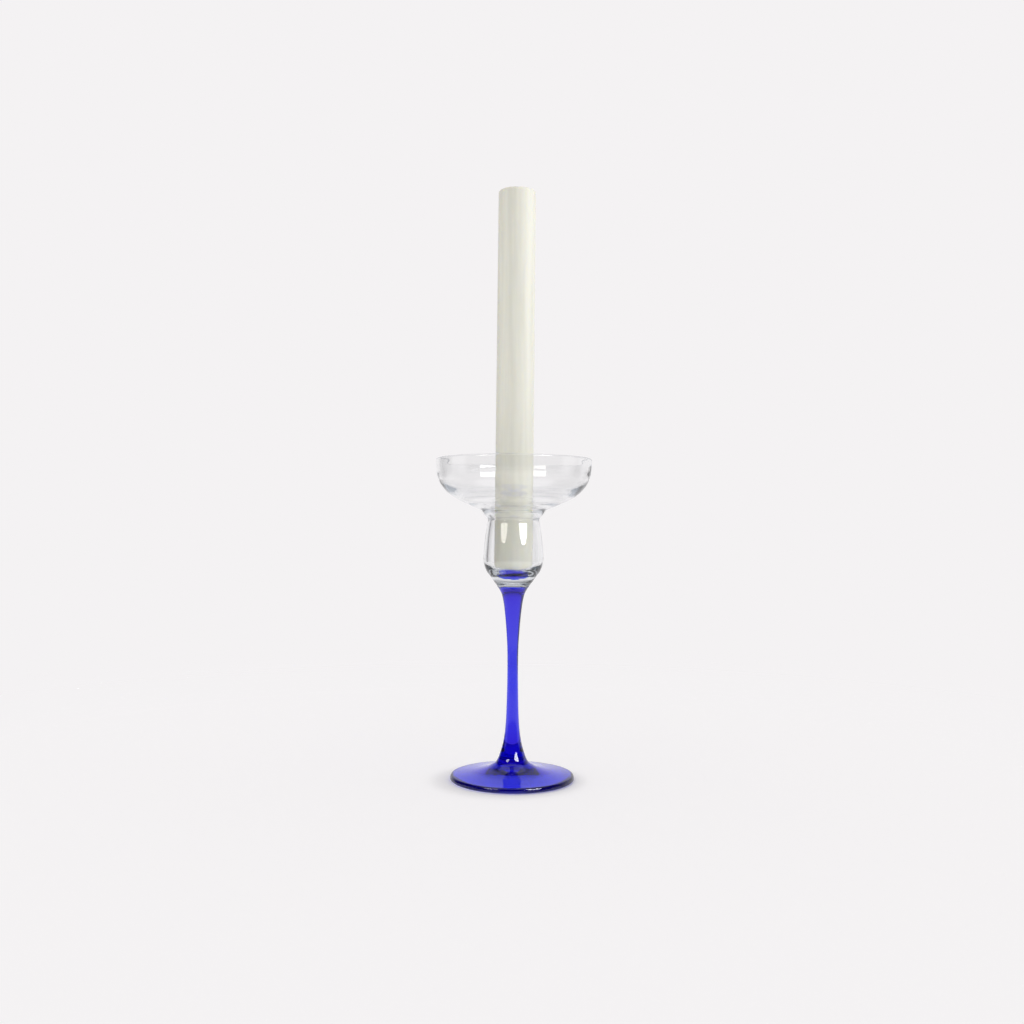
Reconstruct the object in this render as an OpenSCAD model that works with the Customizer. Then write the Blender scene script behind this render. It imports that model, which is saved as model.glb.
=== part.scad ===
// Glass candlestick: a blue stem on a round foot carries a clear socket and a
// wide drip bowl. A straight dinner candle stands in the socket.
// Millimetres, +Z up, origin at the centre of the foot's resting plane.

/* [Foot] */
// Diameter of the foot
foot_d = 74; // [66:1:84]
// Thickness of the foot at its rounded rim
foot_rim_h = 3.5; // [3:0.1:4.4]
// Height at which the stem is fused to the foot
foot_h = 8.7; // [7.8:0.1:10]
// Depth of the hollow under the foot
foot_hollow = 4.2; // [2:0.1:4.6]

/* [Stem] */
// Diameter of the stem's flared lower end
stem_base_d = 25; // [22:0.5:28]
// Diameter of the stem's waist
stem_waist_d = 6.4; // [5.6:0.1:8]
// Diameter of the stem's upper end
stem_top_d = 19.2; // [18:0.1:20.5]
// Length of the stem, from the foot to the clear glass
stem_l = 106.3; // [90:0.1:130]

/* [Candle socket] */
// Widest diameter of the socket's bulb
bulb_d = 36; // [35:0.1:38]
// Height of the socket, from the stem to the bowl
socket_h = 41; // [38:0.5:46]
// Thickness of the solid glass under the cavity
socket_base_h = 6.3; // [5:0.1:7]
// Diameter of the neck's bore
neck_bore_d = 26; // [25:0.1:27]

/* [Drip bowl] */
// Diameter of the bowl at its rim
bowl_d = 93.5; // [84:0.5:104]
// Height of the bowl, from the neck to the rim
bowl_h = 35.3; // [32:0.1:40]
// Thickness of the glass at the rim
rim_t = 1.7; // [1.4:0.1:2]

/* [Candle] */
// Diameter of the candle at its foot
candle_d = 23; // [20:0.1:23.4]
// Length of the candle's wax
candle_l = 228; // [120:1:300]
// Taper of the candle's diameter from foot to top
candle_taper = 0.5; // [0:0.1:2]
// Diameter of the wick
wick_d = 1.6; // [1.2:0.1:2.4]
// Length of wick that stands out of the wax
wick_stub = 2.5; // [1:0.1:12]

/* [Hidden] */
$fn = 120;

// Clearance between the candle and the socket that it stands in
candle_gap = 0.3;
// Rounding at the candle's two ends
candle_edge = 0.6;
// Thickness of the blown walls at the neck
neck_wall = 2.8;
// How far in the foot's rim is rounded, below and above its widest line
foot_edge = 2.6;
foot_round = 1.4;
foot_widest_z = 1.5;

foot_r = foot_d / 2;
bulb_r = bulb_d / 2;
stem_base_r = stem_base_d / 2;
stem_top_r = stem_top_d / 2;
waist_r = stem_waist_d / 2;
neck_r = neck_bore_d / 2;
candle_r = candle_d / 2;
stem_top_z = foot_h + stem_l;
neck_z = stem_top_z + socket_h;
rim_z = neck_z + bowl_h;

// The cavity's floor is the lower half of an ellipse, from its centre line out
// to the widest point of the cavity
cavity_r = bulb_r - 2.4;
cavity_floor_h = 10;
cavity_mid_z = stem_top_z + socket_base_h + cavity_floor_h;
function cavity_z(r) = cavity_mid_z - cavity_floor_h * sqrt(1 - pow(r / cavity_r, 2));
candle_z = cavity_z(candle_r) + candle_gap;

// Lower flare of the stem, from the foot to the waist, and upper flare, from the
// waist to the clear glass: [share of the flare, share of the stem's length]
lower_flare = [[1, 0], [0.77, 0.012], [0.655, 0.024], [0.53, 0.046], [0.355, 0.091],
               [0.228, 0.135], [0.12, 0.2], [0.055, 0.29], [0.012, 0.43], [0, 0.54]];
upper_flare = [[0.02, 0.65], [0.11, 0.745], [0.23, 0.83], [0.37, 0.9],
               [0.56, 0.955], [0.8, 0.985], [1, 1]];
// Outside of the socket's bulb: [share of its radius, share of its height]
bulb_line = [[0.544, 0.016], [0.635, 0.07], [0.748, 0.14], [0.89, 0.225], [0.975, 0.33],
             [1, 0.43], [0.977, 0.575], [0.945, 0.71], [0.898, 0.865], [0.88, 0.92],
             [0.85, 0.965]];
// Inside of the socket above its widest point, in the same shares
cavity_line = [[0.85, 0.53], [0.82, 0.71], [0.78, 0.86]];
// Hollow under the foot: [share of the foot's radius, share of the hollow's depth]
hollow_line = [[0.15, 0.98], [0.35, 0.72], [0.6, 0.33], [0.82, 0.07], [0.89, 0]];
// Underside of the bowl: [share of its radius, share of its height]
bowl_line = [[0.372, 0.05], [0.396, 0.105], [0.42, 0.14], [0.513, 0.184], [0.62, 0.252],
             [0.72, 0.308], [0.806, 0.382], [0.877, 0.467], [0.945, 0.59], [0.985, 0.74],
             [0.997, 0.87]];
// Upper side of the bowl's floor and wall, in the same shares
floor_line = [[0.288, 0.06], [0.318, 0.115], [0.385, 0.18], [0.496, 0.235], [0.605, 0.3],
              [0.706, 0.37], [0.79, 0.44], [0.86, 0.515], [0.915, 0.6], [0.945, 0.69],
              [0.958, 0.8], [0.962, 0.9]];

// Point at share t between b and c of a smooth curve through a, b, c and d
function between(a, b, c, d, t) =
    0.5 * (2 * b + (c - a) * t + (2 * a - 5 * b + 4 * c - d) * t * t
           + (3 * b - a - 3 * c + d) * t * t * t);

// Smooth curve through all the knots, with a few points in each span
function smooth(knots, steps = 4) = let (n = len(knots) - 1)
    [for (i = [0 : n - 1], s = [0 : steps - 1])
        between(knots[max(i - 1, 0)], knots[i], knots[i + 1], knots[min(i + 2, n)], s / steps),
     knots[n]];

// Knots given in shares, at their real size
function sized(shares, r, h, z) = [for (p = shares) [r * p[0], z + h * p[1]]];

// The same knots in the opposite order
function backwards(knots) = [for (i = [len(knots) - 1 : -1 : 0]) knots[i]];

// Arc about the point c, with one radius each way, from one angle to another
function arc(c, rx, rz, from, to, steps = 10) =
    [for (s = [0 : steps]) let (a = from + (to - from) * s / steps)
        c + [rx * cos(a), rz * sin(a)]];

// Stem's flares, as knots: a share of the way from the waist to the end radius
function flare(shares, end_r) =
    [for (p = shares) [waist_r + (end_r - waist_r) * p[0], foot_h + stem_l * p[1]]];

module turned(outline) {
    rotate_extrude() polygon(outline);
}

// Round foot: it rests on a flat ring around a domed hollow, its rim is
// rounded, and its top rises to the stem
module foot() {
    color("mediumblue", 0.8) turned(concat(
        [[0, foot_hollow]],
        smooth(sized(hollow_line, foot_r, foot_hollow, 0)),
        arc([foot_r - foot_edge, foot_widest_z], foot_edge, foot_widest_z, -90, 0, 8),
        arc([foot_r - foot_round, foot_widest_z], foot_round, foot_rim_h - foot_widest_z, 0, 75, 8),
        smooth([[foot_r * 0.93, foot_rim_h * 1.035], [foot_r * 0.8, foot_rim_h * 1.22],
                [foot_r * 0.6, foot_rim_h * 1.56], [foot_r * 0.42, foot_h * 0.83],
                [stem_base_r, foot_h]]),
        [[0, foot_h]]));
}

// Stem: one drawn gather of blue glass, flared at both ends
module stem() {
    color("blue", 0.8) turned(concat(
        [[0, foot_h]],
        smooth(concat(flare(lower_flare, stem_base_r), flare(upper_flare, stem_top_r))),
        [[0, stem_top_z]]));
}

// Socket: a blown bulb with a thick base, open at its neck
module candle_socket() {
    color("lightcyan", 0.35) turned(concat(
        [[0, stem_top_z]],
        smooth(concat([[stem_top_r, stem_top_z]],
                      sized(bulb_line, bulb_r, socket_h, stem_top_z))),
        [[neck_r + neck_wall, neck_z]],
        smooth(concat([[neck_r, neck_z]],
                      backwards(sized(cavity_line, bulb_r, socket_h, stem_top_z)),
                      [[cavity_r, cavity_mid_z]])),
        arc([0, cavity_mid_z], cavity_r, cavity_floor_h, 0, -90, 16)));
}

// Drip bowl: a collar at the neck that opens into a wide shallow bowl
module drip_bowl() {
    bowl_r = bowl_d / 2;
    rim_mid = [bowl_r - rim_t / 2, rim_z - rim_t / 2];
    color("lightcyan", 0.35) turned(concat(
        smooth(concat([[neck_r + neck_wall, neck_z]],
                      sized(bowl_line, bowl_r, bowl_h, neck_z), [rim_mid + [rim_t / 2, 0]])),
        arc(rim_mid, rim_t / 2, rim_t / 2, 18, 180),
        smooth(concat(backwards(sized(floor_line, bowl_r, bowl_h, neck_z)), [[neck_r, neck_z]]))));
}

// Straight dinner candle, slightly tapered, with a bore for its wick
module candle() {
    top_r = candle_r - candle_taper / 2;
    color("ivory") translate([0, 0, candle_z]) turned(concat(
        [[wick_d / 2, 0]],
        arc([candle_r - candle_edge, candle_edge], candle_edge, candle_edge, -90, 0, 5),
        arc([top_r - candle_edge, candle_l - candle_edge], candle_edge, candle_edge, 0, 90, 5),
        [[wick_d / 2, candle_l]]));
}

// Wick: from the candle's foot to a short stub above the wax
module wick() {
    color("whitesmoke") translate([0, 0, candle_z])
        cylinder(d = wick_d, h = candle_l + wick_stub, $fn = 32);
}

foot();
stem();
candle_socket();
drip_bowl();
candle();
wick();
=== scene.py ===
# Glass candlestick with its dinner candle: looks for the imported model, in metres
import math
import bmesh
import bpy
import numpy as np
from mathutils import Matrix, Vector


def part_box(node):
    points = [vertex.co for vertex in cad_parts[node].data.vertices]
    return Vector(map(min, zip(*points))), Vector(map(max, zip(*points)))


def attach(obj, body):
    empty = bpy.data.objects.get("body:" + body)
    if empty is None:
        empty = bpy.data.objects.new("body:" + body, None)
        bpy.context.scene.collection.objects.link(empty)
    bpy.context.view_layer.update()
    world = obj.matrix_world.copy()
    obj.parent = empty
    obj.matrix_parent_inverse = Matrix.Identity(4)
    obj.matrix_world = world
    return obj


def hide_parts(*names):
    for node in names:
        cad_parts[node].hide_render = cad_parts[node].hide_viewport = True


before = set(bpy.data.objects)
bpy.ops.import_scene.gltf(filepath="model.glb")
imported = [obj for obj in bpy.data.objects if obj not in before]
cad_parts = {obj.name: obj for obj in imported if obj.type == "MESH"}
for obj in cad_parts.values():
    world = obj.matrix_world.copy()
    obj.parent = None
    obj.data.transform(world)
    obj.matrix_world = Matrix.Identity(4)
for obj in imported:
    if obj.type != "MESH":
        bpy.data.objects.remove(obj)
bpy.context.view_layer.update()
mm = 0.001
scene = bpy.context.scene
print("frame loaded:", sorted(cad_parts))


class Value:
    # one socket of a node tree, so that shader maths can be written as an expression
    def __init__(self, tree, socket):
        self.tree = tree
        self.socket = socket

    def math(self, operation, *others):
        inputs = {i: v for i, v in enumerate((self, *others))}
        return self.tree.add("ShaderNodeMath", {"operation": operation}, inputs)[0]

    def __add__(self, other):
        return self.math("ADD", other)

    def __radd__(self, other):
        return self.math("ADD", other)

    def __sub__(self, other):
        return self.math("SUBTRACT", other)

    def __rsub__(self, other):
        return self.tree.add("ShaderNodeMath", {"operation": "SUBTRACT"}, {0: other, 1: self})[0]

    def __mul__(self, other):
        return self.math("MULTIPLY", other)

    def __rmul__(self, other):
        return self.math("MULTIPLY", other)

    def smooth(self, low, high, lowOut=0.0, highOut=1.0):
        # eases from lowOut to highOut while the value goes from low to high
        return self.tree.add("ShaderNodeMapRange", {"interpolation_type": "SMOOTHSTEP"},
                             {0: self, 1: low, 2: high, 3: lowOut, 4: highOut})[0]


class Tree:
    # a node tree of a material or the world
    def __init__(self, owner):
        owner.use_nodes = True
        self.tree = owner.node_tree
        self.tree.nodes.clear()

    def add(self, kind, settings=None, inputs=None):
        node = self.tree.nodes.new(kind)
        for name, value in (settings or {}).items():
            setattr(node, name, value)
        for key, value in (inputs or {}).items():
            if isinstance(value, Value):
                self.tree.links.new(value.socket, node.inputs[key])
            else:
                node.inputs[key].default_value = value
        return [Value(self, s) for s in node.outputs]

    def mix(self, share, a, b):
        # colour mix: a where share is 0, b where it is 1
        return self.add("ShaderNodeMix", {"data_type": "RGBA"}, {0: share, 6: a, 7: b})[2]

    def vector(self, operation, inputs):
        # the vector and the number that a Vector Math node gives
        return self.add("ShaderNodeVectorMath", {"operation": operation}, inputs)

    def objectPlace(self):
        return self.add("ShaderNodeTexCoord")[3]


def between(a, b, c, d, t):
    # point at share t between b and c of a smooth curve through a, b, c and d
    return 0.5 * (2 * b + (c - a) * t + (2 * a - 5 * b + 4 * c - d) * t * t
                  + (3 * b - a - 3 * c + d) * t ** 3)


def smoothLine(knots, steps):
    # smooth curve through all the knots, with steps points in each span
    k = [np.array(p, float) for p in knots]
    last = len(k) - 1
    line = [between(k[max(i - 1, 0)], k[i], k[i + 1], k[min(i + 2, last)], s / steps)
            for i in range(last) for s in range(steps)]
    return line + [k[last]]


def sized(shares, r, height, z):
    # knots given in shares of a radius and a height, at their real size
    return [(r * a, z + height * b) for a, b in shares]


def arcLine(centre, rx, rz, start, stop, steps):
    # arc about a centre, with one radius each way, between two angles in degrees
    angles = [math.radians(start + (stop - start) * s / steps) for s in range(steps + 1)]
    return [np.array((centre[0] + rx * math.cos(a), centre[1] + rz * math.sin(a))) for a in angles]


def turned(name, outline, sides, closed=False, move=None, sharp=35):
    # lathe an outline of (radius, height) points about Z; closed joins its last point to its
    # first, move shifts each point, and edges bent by more than sharp degrees stay crisp
    same = 1e-7
    points = [np.array(p, float) for p in outline]
    points = [p for i, p in enumerate(points) if i == 0 or np.hypot(*(p - points[i - 1])) > same]
    if closed and np.hypot(*(points[0] - points[-1])) < same:
        points.pop()
    mesh = bpy.data.meshes.new(name)
    bm = bmesh.new()
    rings = []
    for r, z in points:
        if r < same:
            rings.append([bm.verts.new((0, 0, z))])
            continue
        ring = []
        for s in range(sides):
            a = 2 * math.pi * s / sides
            rr, zz = move(a, r, z) if move else (r, z)
            ring.append(bm.verts.new((rr * math.cos(a), rr * math.sin(a), zz)))
        rings.append(ring)
    pairs = list(zip(rings, rings[1:])) + ([(rings[-1], rings[0])] if closed else [])
    for low, high in pairs:
        for s in range(sides):
            t = (s + 1) % sides
            if len(low) == 1 and len(high) == 1:
                continue
            if len(low) == 1:
                bm.faces.new((low[0], high[t], high[s]))
            elif len(high) == 1:
                bm.faces.new((low[s], low[t], high[0]))
            else:
                bm.faces.new((low[s], low[t], high[t], high[s]))
    bmesh.ops.recalc_face_normals(bm, faces=bm.faces)
    for face in bm.faces:
        face.smooth = True
    for edge in bm.edges:
        edge.smooth = not (edge.is_manifold and edge.calc_face_angle() > math.radians(sharp))
    bm.to_mesh(mesh)
    bm.free()
    piece = bpy.data.objects.new(name, mesh)
    scene.collection.objects.link(piece)
    return piece


def finishPiece(piece, material, body, node):
    piece.data.materials.clear()
    piece.data.materials.append(material)
    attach(piece, body)
    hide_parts(node)
    print("made", piece.name, len(piece.data.vertices), "vertices")


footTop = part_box("foot")[1]
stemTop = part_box("stem")[1]
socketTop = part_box("candle_socket")[1]
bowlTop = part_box("drip_bowl")[1]
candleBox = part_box("candle")
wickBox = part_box("wick")
overlap = 0.01 * mm   # fused glass runs this far into its neighbour, so no air shows between

# cast is the colour that even a thin wall has, and tint and density give what depth adds to it
glass = {
    "ior": 1.5,
    "rippleScale": 60.0,
    "rippleStrength": 0.02,
    "smudgeScale": 140.0,
    "smudge": (0.0, 0.02),   # roughness of clean glass, and under the faint film
    "cobalt glass": {"cast": (0.062, 0.15, 1), "tint": (0.738, 0, 0.87), "density": 172.0},
    "clear glass": {"cast": (1, 1, 1), "tint": (0.4, 0.48, 0.56), "density": 20.0},
}


def glassMaterial(name):
    cast, tint, density = glass[name].values()
    material = bpy.data.materials.new(name)
    t = Tree(material)
    place = t.objectPlace()
    ripple = t.add("ShaderNodeTexNoise", {}, {
        "Vector": place, "Scale": glass["rippleScale"], "Detail": 1.5, "Roughness": 0.4})[0]
    film = t.add("ShaderNodeTexNoise", {}, {
        "Vector": place, "Scale": glass["smudgeScale"], "Detail": 3.0})[0]
    bump = t.add("ShaderNodeBump", {}, {
        "Strength": glass["rippleStrength"], "Distance": mm, "Height": ripple})[0]
    shader = t.add("ShaderNodeBsdfPrincipled", {}, {
        "Base Color": (*cast, 1), "Roughness": film.smooth(0.45, 0.75, *glass["smudge"]),
        "IOR": glass["ior"], "Transmission Weight": 1.0, "Normal": bump})[0]
    inside = t.add("ShaderNodeVolumeAbsorption", {}, {"Color": (*tint, 1), "Density": density})[0]
    t.add("ShaderNodeOutputMaterial", {}, {"Surface": shader, "Volume": inside})
    return material


blueGlass = glassMaterial("cobalt glass")
clearGlass = glassMaterial("clear glass")

foot = {
    "rimHeight": 3.5 * mm,   # thickness at the rim
    "hollow": 4.2 * mm,      # depth of the dome under it
    "edge": 2.6 * mm,        # how far in the rim is rounded, below its widest line
    "topEdge": 1.4 * mm,     # and above it
    "widest": 1.5 * mm,      # height of that line
    "stem": 12.5 * mm,       # radius where the stem is fused on
    # points in shares of its radius and of the dome's depth, the rim's height and its own height
    "dome": [(0.15, 0.98), (0.35, 0.72), (0.6, 0.33), (0.82, 0.07), (0.89, 0)],
    "top": [(0.93, 1.035), (0.8, 1.22), (0.6, 1.56)],
    "slope": [(0.42, 0.83)],
    "sides": 192,
}


def makeFoot():
    r, h, rim, widest = footTop.x, footTop.z, foot["rimHeight"], foot["widest"]
    dome = smoothLine(sized(foot["dome"], r, foot["hollow"], 0), 8)
    lower = arcLine((r - foot["edge"], widest), foot["edge"], widest, -90, 0, 16)
    upper = arcLine((r - foot["topEdge"], widest), foot["topEdge"], rim - widest, 0, 80, 16)
    top = smoothLine([upper.pop()] + sized(foot["top"], r, rim, 0)
                     + sized(foot["slope"], r, h, 0) + [(foot["stem"], h)], 10)
    outline = ([(0, foot["hollow"])] + dome + lower + upper + top
               + [(foot["stem"], h + overlap), (0, h + overlap)])
    piece = turned("foot_glass", outline, foot["sides"])
    finishPiece(piece, blueGlass, "candlestick", "foot")


stem = {
    "waist": 3.2 * mm,       # radius where it is thinnest
    "base": 12.5 * mm,
    "top": 9.6 * mm,
    # flares: share of the way from the waist to the end radius, share of the stem's length
    "lower": [(1, 0), (0.77, 0.012), (0.655, 0.024), (0.53, 0.046), (0.355, 0.091),
              (0.228, 0.135), (0.12, 0.2), (0.055, 0.29), (0.012, 0.43), (0, 0.54)],
    "upper": [(0.02, 0.65), (0.11, 0.745), (0.23, 0.83), (0.37, 0.9), (0.56, 0.955),
              (0.8, 0.985), (1, 1)],
    "sides": 160,
}


def makeStem():
    low, high, waist = footTop.z, stemTop.z, stem["waist"]
    flares = [(waist + (end - waist) * a, low + (high - low) * b)
              for shares, end in ((stem["lower"], stem["base"]), (stem["upper"], stem["top"]))
              for a, b in shares]
    outline = ([(0, low - overlap), (stem["base"], low - overlap)] + smoothLine(flares, 8)
               + [(stem["top"], high + overlap), (0, high + overlap)])
    piece = turned("stem_glass", outline, stem["sides"])
    finishPiece(piece, blueGlass, "candlestick", "stem")


socket = {
    "radius": 18.0 * mm,
    "stem": 9.6 * mm,        # radius where it is fused to the stem
    "base": 6.3 * mm,        # solid glass under the cavity
    "bore": 13.0 * mm,       # inner radius of the neck
    "neck": 15.8 * mm,       # outer radius of the neck
    "wall": 2.4 * mm,        # at the widest point of the cavity
    "floor": 10.0 * mm,      # height of the cavity's rounded floor
    "ripple": 0.03 * mm,     # unevenness of that floor
    # points in shares of its radius and height
    "outside": [(0.544, 0.016), (0.635, 0.07), (0.748, 0.14), (0.89, 0.225), (0.975, 0.33),
                (1, 0.43), (0.977, 0.575), (0.945, 0.71), (0.898, 0.865), (0.88, 0.92),
                (0.85, 0.965)],
    "inside": [(0.78, 0.86), (0.82, 0.71), (0.85, 0.53)],
    "sides": 192,
}


def makeSocket():
    low, high, r, rounded = stemTop.z, socketTop.z, socket["radius"], socket["floor"]
    height = high - low
    wide = r - socket["wall"]
    mid = low + socket["base"] + rounded

    def rippled(a, r, z):
        # the cavity's floor is a little uneven, as blown glass is; all other points stay put
        level = mid - rounded * math.sqrt(max(0, 1 - (r / wide) ** 2))
        offFloor = abs(z - level) > 0.02 * mm
        if offFloor or z < low + mm:
            return r, z
        wave = (math.sin(r / mm * 2.1 + 1.4 * math.sin(2 * a))
                + 0.6 * math.sin(r / mm * 1.2 + 3 * a))
        return r, z + socket["ripple"] * wave * min(1, r / mm) * min(1, (mid - z) / mm)

    outside = smoothLine([(socket["stem"], low)] + sized(socket["outside"], r, height, low), 8)
    inside = smoothLine([(socket["bore"], high)] + sized(socket["inside"], r, height, low)
                        + [(wide, mid)], 8)
    floor = arcLine((0, mid), wide, rounded, 0, -90, 60)
    floor[-1] = np.array((0, mid - rounded))
    outline = ([(0, low - overlap), (socket["stem"], low - overlap)] + outside
               + [(socket["neck"], high + overlap), (socket["bore"], high + overlap)]
               + inside + floor)
    piece = turned("socket_glass", outline, socket["sides"], move=rippled)
    finishPiece(piece, clearGlass, "candlestick", "candle_socket")


bowl = {
    "rim": 1.7 * mm,         # thickness of the rim
    "wobble": 0.05 * mm,     # unevenness of the wall
    # points in shares of its radius and height
    "under": [(0.372, 0.05), (0.396, 0.105), (0.42, 0.14), (0.513, 0.184), (0.62, 0.252),
              (0.72, 0.308), (0.806, 0.382), (0.877, 0.467), (0.945, 0.59), (0.985, 0.74),
              (0.997, 0.87)],
    "over": [(0.962, 0.9), (0.958, 0.8), (0.945, 0.69), (0.915, 0.6), (0.86, 0.515),
             (0.79, 0.44), (0.706, 0.37), (0.605, 0.3), (0.496, 0.235), (0.385, 0.18),
             (0.318, 0.115), (0.288, 0.06)],
    "sides": 256,
}


def makeBowl():
    low, high, r = socketTop.z, bowlTop.z, bowlTop.x
    height, half = high - low, bowl["rim"] / 2
    rim = (r - half, high - half)
    under = smoothLine([(socket["neck"], low)] + sized(bowl["under"], r, height, low)
                       + [(r, high - half)], 8)
    edge = arcLine(rim, half, half, 10, 180, 16)
    over = smoothLine(sized(bowl["over"], r, height, low) + [(socket["bore"], low)], 8)
    outline = ([(socket["bore"], low - overlap), (socket["neck"], low - overlap)]
               + under + edge + over)
    outerZ, outerR = [p[1] for p in under], [p[0] for p in under]

    def wallMiddle(z):
        # middle of the wall's thickness at this height
        return np.interp(z, outerZ, outerR) - half

    def uneven(a, r, z):
        # a blown wall, thicker here and thinner there; it's dead round up to 3 mm above the neck,
        # and fully uneven from 11 mm up
        share = min(1, max(0, (z - low - 3 * mm) / (8 * mm)))
        wave = (math.sin(2 * a + 0.6) + 0.6 * math.sin(3 * a + z / mm * 0.35)
                + 0.35 * math.sin(7 * a - z / mm * 0.5))
        inner = r < wallMiddle(z)
        return r + (-bowl["wobble"] if inner else 0.3 * bowl["wobble"]) * wave * share, z

    piece = turned("bowl_glass", outline, bowl["sides"], closed=True, move=uneven)
    finishPiece(piece, clearGlass, "candlestick", "drip_bowl")


candle = {
    "lean": 0.26,            # degrees to the right, as it stands a little loose in its socket
    "taper": 0.25 * mm,      # how much thinner its radius is at the top
    "edge": 0.6 * mm,        # radius of its rounded edges
    "dark": (0.575, 0.575, 0.51, 1),
    "pale": (0.615, 0.615, 0.55, 1),
    "roughness": (0.42, 0.55),
    "streaks": 420.0,        # fineness of its lengthwise streaks
    "stretch": 0.04,         # and their width, as a share of their length
    "glow": 0.4,             # share of light that goes under its surface
    "sides": 128,
}


def waxMaterial():
    material = bpy.data.materials.new("ivory wax")
    t = Tree(material)
    long = t.add("ShaderNodeMapping", {}, {0: t.objectPlace(), 3: (1, 1, candle["stretch"])})[0]
    streaks = t.add("ShaderNodeTexNoise", {}, {
        "Vector": long, "Scale": candle["streaks"], "Detail": 3.0})[0]
    bump = t.add("ShaderNodeBump", {}, {
        "Strength": 0.12, "Distance": 0.5 * mm, "Height": streaks})[0]
    colour = t.mix(streaks.smooth(0.3, 0.7), candle["dark"], candle["pale"])
    shader = t.add("ShaderNodeBsdfPrincipled", {}, {
        "Base Color": colour, "Roughness": streaks.smooth(0.3, 0.7, *candle["roughness"]),
        "IOR": 1.44, "Subsurface Weight": candle["glow"], "Subsurface Scale": 1.0,
        "Subsurface Radius": (4 * mm, 3 * mm, 1.5 * mm), "Normal": bump})[0]
    t.add("ShaderNodeOutputMaterial", {}, {"Surface": shader})
    return material


def leaning(piece, low):
    # leans a straight piece about the candle's bottom end
    slope = math.tan(math.radians(candle["lean"]))
    for v in piece.data.vertices:
        v.co.x += slope * (v.co.z - low)


def makeCandle():
    low, high = candleBox[0].z, candleBox[1].z
    r, bore, edge = candleBox[1].x, wickBox[1].x, candle["edge"]
    top = r - candle["taper"]
    side = smoothLine([(r, low + edge), (r + (top - r) * 0.5, (low + high) / 2),
                       (top, high - edge)], 40)
    outline = ([(bore, low)] + arcLine((r - edge, low + edge), edge, edge, -90, 0, 6) + side
               + arcLine((top - edge, high - edge), edge, edge, 0, 90, 6) + [(bore, high)])
    piece = turned("candle_wax", outline, candle["sides"], closed=True)
    leaning(piece, low)
    finishPiece(piece, waxMaterial(), "candle", "candle")


wick = {
    "body": 0.95,            # its radius, as a share of its bore
    "tip": 0.6,              # the same at its cut end
    "cut": 0.3 * mm,         # height of the cut end
    "slant": 0.9,            # of its strands, in radians
    "strands": 420.0,        # fineness of them
    "dark": (0.62, 0.59, 0.5, 1),
    "pale": (0.84, 0.82, 0.75, 1),
    "sides": 32,
}


def cottonMaterial():
    material = bpy.data.materials.new("cotton")
    t = Tree(material)
    slanted = t.add("ShaderNodeMapping", {}, {0: t.objectPlace(), 2: (wick["slant"], 0, 0)})[0]
    strands = t.add("ShaderNodeTexWave", {"bands_direction": "Z"}, {
        "Vector": slanted, "Scale": wick["strands"], "Distortion": 0.6, "Detail": 2.0})[1]
    bump = t.add("ShaderNodeBump", {}, {
        "Strength": 0.5, "Distance": 0.1 * mm, "Height": strands})[0]
    shader = t.add("ShaderNodeBsdfPrincipled", {}, {
        "Base Color": t.mix(strands, wick["dark"], wick["pale"]),
        "Roughness": strands.smooth(0.0, 1.0, 0.95, 0.85), "Normal": bump})[0]
    t.add("ShaderNodeOutputMaterial", {}, {"Surface": shader})
    return material


def makeWick():
    low, high = wickBox
    body, tip = high.x * wick["body"], high.x * wick["tip"]
    piece = turned("wick_cord", [(0, low.z), (body, low.z), (body, high.z - wick["cut"]),
                                 (tip, high.z), (0, high.z)], wick["sides"])
    leaning(piece, candleBox[0].z)
    finishPiece(piece, cottonMaterial(), "candle", "wick")


makeFoot()
makeStem()
makeSocket()
makeBowl()
makeCandle()
makeWick()

backdrop = (0.905, 0.888, 0.896)

# brightnesses are shares of the backdrop's, and heights are sines of the angle above the level
room = {
    "fill": 0.8,             # even light on dull surfaces
    "dark": 0.03,            # the unlit room round the backdrop
    "backdropTurn": 0.27,    # how far the backdrop's middle stands to the right
    "sides": (0.35, 0.75),   # cosines from the backdrop's middle between which it ends
    "rise": (0.05, 0.60),    # heights between which the backdrop grows dimmer
    "top": 0.55,             # its brightness above them
    "wing": 0.8,             # the narrow panels to the left and right
    "wings": (0.95, 0.985),  # cosines from the left or right between which they begin
    "wingTop": (0.1, 0.3),   # heights between which they end
    "low": 0.85,             # the table far below
    "table": (-0.26, -0.13),   # heights between which it ends
    "overhead": 1.0,         # the panel above the object
    "panel": (0.72, 0.86),   # heights between which that panel begins
}


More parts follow.
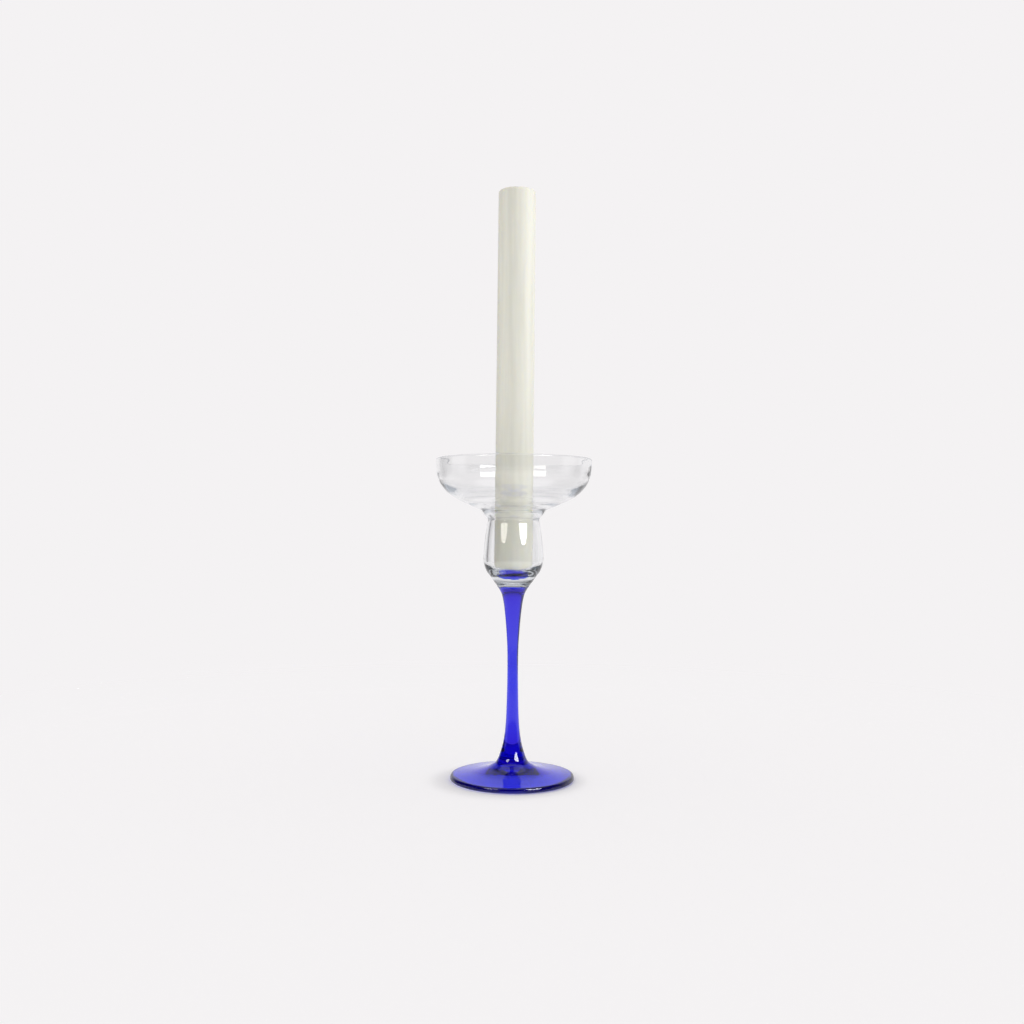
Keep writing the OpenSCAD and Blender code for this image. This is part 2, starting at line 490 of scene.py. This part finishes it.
def makeWorld():
    world = bpy.data.worlds.new("studio")
    scene.world = world
    t = Tree(world)
    path = t.add("ShaderNodeLightPath")
    isCamera, isDiffuse = path[0], path[2]
    way = t.add("ShaderNodeTexCoord")[0]
    x, y, z = t.add("ShaderNodeSeparateXYZ", {}, {0: way})
    behind = (y + x * room["backdropTurn"]).smooth(*room["sides"], room["dark"], 1.0)
    aside = (x.math("ABSOLUTE").smooth(*room["wings"])
             * z.smooth(*room["wingTop"], room["wing"], 0.0))
    below = z.smooth(*room["table"], room["low"], 0.0)
    level = behind * z.smooth(*room["rise"], 1.0, room["top"])
    level = level.math("MAXIMUM", aside).math("MAXIMUM", below)
    level = level + z.smooth(*room["panel"], 0.0, room["overhead"])
    around = t.vector("SCALE", {0: backdrop, "Scale": level})[0]
    colour = (*backdrop, 1)
    studio = t.add("ShaderNodeBackground", {}, {"Color": around, "Strength": 1.0})[0]
    plain = t.add("ShaderNodeBackground", {}, {"Color": colour, "Strength": 1.0})[0]
    even = t.add("ShaderNodeBackground", {}, {"Color": colour, "Strength": room["fill"]})[0]
    mixed = t.add("ShaderNodeMixShader", {}, {0: isDiffuse, 1: studio, 2: even})[0]
    mixed = t.add("ShaderNodeMixShader", {}, {0: isCamera, 1: mixed, 2: plain})[0]
    t.add("ShaderNodeOutputWorld", {}, {"Surface": mixed})
    world.cycles.sampling_method = "NONE"   # so that the even light reaches dull surfaces only


# azimuth is in degrees from the front, positive to the right, and place is the lamp's distance,
# the heights of its lower and upper edge, and its width
glassLamps = {
    "softbox right": {"azimuth": 41, "level": 18.0, "colour": (1, 1, 1),
                      "place": (0.52, 0.225, 0.40, 0.33)},
    "softbox left": {"azimuth": -41, "level": 9.0, "colour": (1, 0.97, 0.9),
                     "place": (0.365, 0.207, 0.322, 0.2)},
}
waxLamps = {
    "key right": {"azimuth": 74, "level": 6.0, "colour": (1, 1, 1),
                  "place": (0.48, 0.20, 0.66, 0.29)},
    "key front": {"azimuth": 0, "level": 2.8, "colour": (1, 1, 1),
                  "place": (0.7, 0.02, 0.45, 0.35)},
    "key left": {"azimuth": -65, "level": 3.0, "colour": (1, 0.98, 0.94),
                 "place": (0.55, 0.05, 0.50, 0.29)},
}
lampAim = Vector((0, 0, 0.15))   # all of them point at this place, half way up


def makeLamp(name, lamp, lit, casters=None):
    # it lights only the pieces in lit, and only those in casters, if given, stand in its way
    away, low, high, width = lamp["place"]
    a = math.radians(lamp["azimuth"])
    middle = Vector((away * math.sin(a), -away * math.cos(a), (low + high) / 2))
    data = bpy.data.lights.new(name, "AREA")
    data.shape = "ELLIPSE"
    data.size, data.size_y = width, high - low
    area = math.pi * data.size * data.size_y / 4
    data.energy = lamp["level"] * area * math.pi
    data.color = lamp["colour"]
    light = bpy.data.objects.new(name, data)
    scene.collection.objects.link(light)
    light.location = middle
    light.rotation_euler = (lampAim - middle).to_track_quat("-Z", "Y").to_euler()
    light.visible_camera = False
    light.visible_transmission = False
    light.light_linking.receiver_collection = lit
    if casters:
        light.light_linking.blocker_collection = casters


def gathered(name, pieceNames):
    group = bpy.data.collections.new(name)
    for pieceName in pieceNames:
        group.objects.link(bpy.data.objects[pieceName])
    return group


def makeLamps():
    glassPieces = gathered("glass pieces", ("foot_glass", "stem_glass", "socket_glass",
                                            "bowl_glass"))
    waxPieces = gathered("wax pieces", ("candle_wax", "wick_cord"))
    for name, lamp in glassLamps.items():
        makeLamp(name, lamp, glassPieces)
    for name, lamp in waxLamps.items():
        makeLamp(name, lamp, waxPieces, waxPieces)


# radii are in metres, and glow is a share of the backdrop's brightness
table = {
    "radius": 0.7,
    "ends": (0.3, 0.68),     # radii between which it fades into the backdrop
    "grey": 0.82,            # colour of its surface
    "even": 0.35,            # how much the table glows by itself
    "under": 0.5,            # the same under the foot, raised there as painted light that brightens the blue seen through it
    "paintedShade": 0.2,            # and this little in the painted shade round its rim
    "foot": (0.031, 0.0355),   # radii between which that painted shade begins
    "fade": (0.037, 0.051),    # and between which it ends
    "shift": (0.0025, 0.0015, 0),   # the painted shade lies a little to the left and the front
    "sink": 0.02 * mm,
}


def makeFloor():
    bpy.ops.mesh.primitive_circle_add(vertices=96, radius=table["radius"], fill_type="TRIFAN")
    floor = bpy.context.object
    floor.name = "floor"
    floor.location.z = -table["sink"]
    material = bpy.data.materials.new("floor")
    t = Tree(material)
    place = t.objectPlace()
    out = t.vector("LENGTH", {0: place})[1]
    shifted = t.vector("ADD", {0: place, 1: table["shift"]})[0]
    near = t.vector("LENGTH", {0: shifted})[1]
    # painted light in the table's glow: a painted shade in a ring round the foot's rim, and a
    # brighter painted glow under the foot
    share = (near.smooth(*table["foot"], table["under"], table["paintedShade"])
             + near.smooth(*table["fade"], 0, table["even"] - table["paintedShade"]))
    glow = t.vector("SCALE", {0: backdrop, "Scale": share})[0]
    grey = table["grey"]
    shader = t.add("ShaderNodeBsdfPrincipled", {}, {
        "Base Color": (grey, grey, grey, 1), "Roughness": 1.0, "Specular IOR Level": 0.0,
        "Emission Color": glow, "Emission Strength": 1.0,
        "Alpha": out.smooth(*table["ends"], 1.0, 0.0)})[0]
    t.add("ShaderNodeOutputMaterial", {}, {"Surface": shader})
    floor.data.materials.append(material)


view = {
    "lens": 36.6,
    "place": (-0.001, -0.6246, 0.146),
    "tilt": 1.25,            # degrees upwards
    "roll": 0.363,           # degrees
}


def makeCamera():
    data = bpy.data.cameras.new("camera")
    data.sensor_width = 36.0
    data.lens = view["lens"]
    data.clip_start = 0.01
    camera = bpy.data.objects.new("camera", data)
    scene.collection.objects.link(camera)
    turn = (Matrix.Rotation(math.radians(90 + view["tilt"]), 4, "X")
            @ Matrix.Rotation(math.radians(view["roll"]), 4, "Z"))
    camera.matrix_world = Matrix.Translation(view["place"]) @ turn
    scene.camera = camera


makeWorld()
makeLamps()
makeFloor()
makeCamera()
bounces = 32   # thick clear glass goes black with fewer
scene.cycles.max_bounces = bounces
scene.cycles.glossy_bounces = bounces
scene.cycles.transmission_bounces = bounces
scene.view_settings.view_transform = "Standard"
scene.view_settings.look = "None"
print("stage, lights and camera set")
